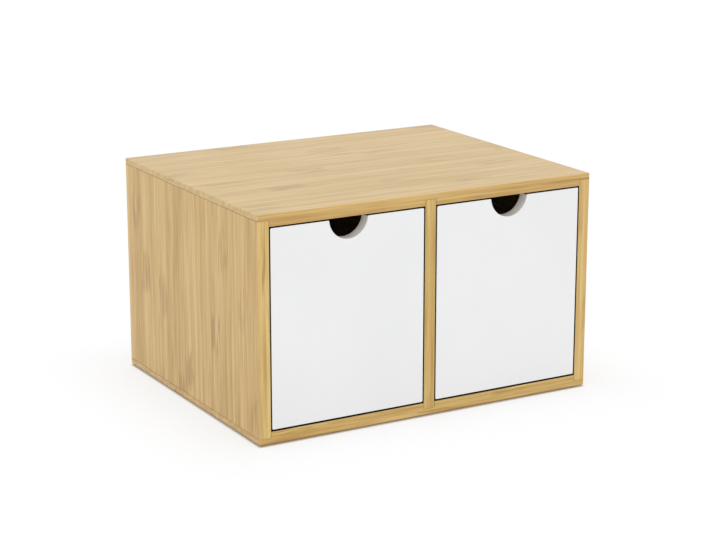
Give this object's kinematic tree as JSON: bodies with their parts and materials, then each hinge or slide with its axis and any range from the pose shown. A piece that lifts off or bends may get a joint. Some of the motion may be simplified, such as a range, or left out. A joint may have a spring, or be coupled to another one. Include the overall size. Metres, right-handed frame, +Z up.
{
  "type": "desktop drawer chest",
  "caption": "Low desktop chest in bamboo board with drawers side by side, each with a white front and a half-moon finger notch.",
  "frame": {"origin": "centre of the footprint, on the surface that the chest stands on", "axes": "+X to the right as seen from the front, +Y towards the back panel, +Z up; the drawers open towards -Y"},
  "size_m": [0.37, 0.296, 0.222],
  "materials": {
    "bamboo_case": "clear satin lacquer over laminated bamboo strips",
    "bamboo_drawer": "sanded and oiled bamboo board",
    "thin_panel": "thin bamboo plywood, sanded",
    "white_lacquer": "white satin lacquer",
    "dowel_wood": "plain hardwood dowel, end grain showing",
    "nail_steel": "brass-plated nail heads",
    "pad_rubber": "matt dark rubber"
  },
  "bodies": {
    "case": {"top_board": "bamboo_case", "bottom_board": "bamboo_case", "left_side_panel": "bamboo_case", "right_side_panel": "bamboo_case", "centre_divider": "bamboo_case", "back_panel": "thin_panel", "back_panel_nails": "nail_steel", "base_pads": "pad_rubber"},
    "left_drawer": {"left_drawer_front": "white_lacquer", "left_drawer_left_side": "bamboo_drawer", "left_drawer_right_side": "bamboo_drawer", "left_drawer_back": "bamboo_drawer", "left_drawer_bottom": "thin_panel", "left_drawer_front_dowels": "dowel_wood", "left_drawer_back_dowels": "dowel_wood"},
    "right_drawer": {"right_drawer_front": "white_lacquer", "right_drawer_left_side": "bamboo_drawer", "right_drawer_right_side": "bamboo_drawer", "right_drawer_back": "bamboo_drawer", "right_drawer_bottom": "thin_panel", "right_drawer_front_dowels": "dowel_wood", "right_drawer_back_dowels": "dowel_wood"}
  },
  "joints": [
    {"name": "left_drawer_slide", "type": "slide", "parent": "case", "child": "left_drawer", "axis": [0, -1, 0], "range_m": [0, 0.2]},
    {"name": "right_drawer_slide", "type": "slide", "parent": "case", "child": "right_drawer", "axis": [0, -1, 0], "range_m": [0, 0.2]}
  ]
}
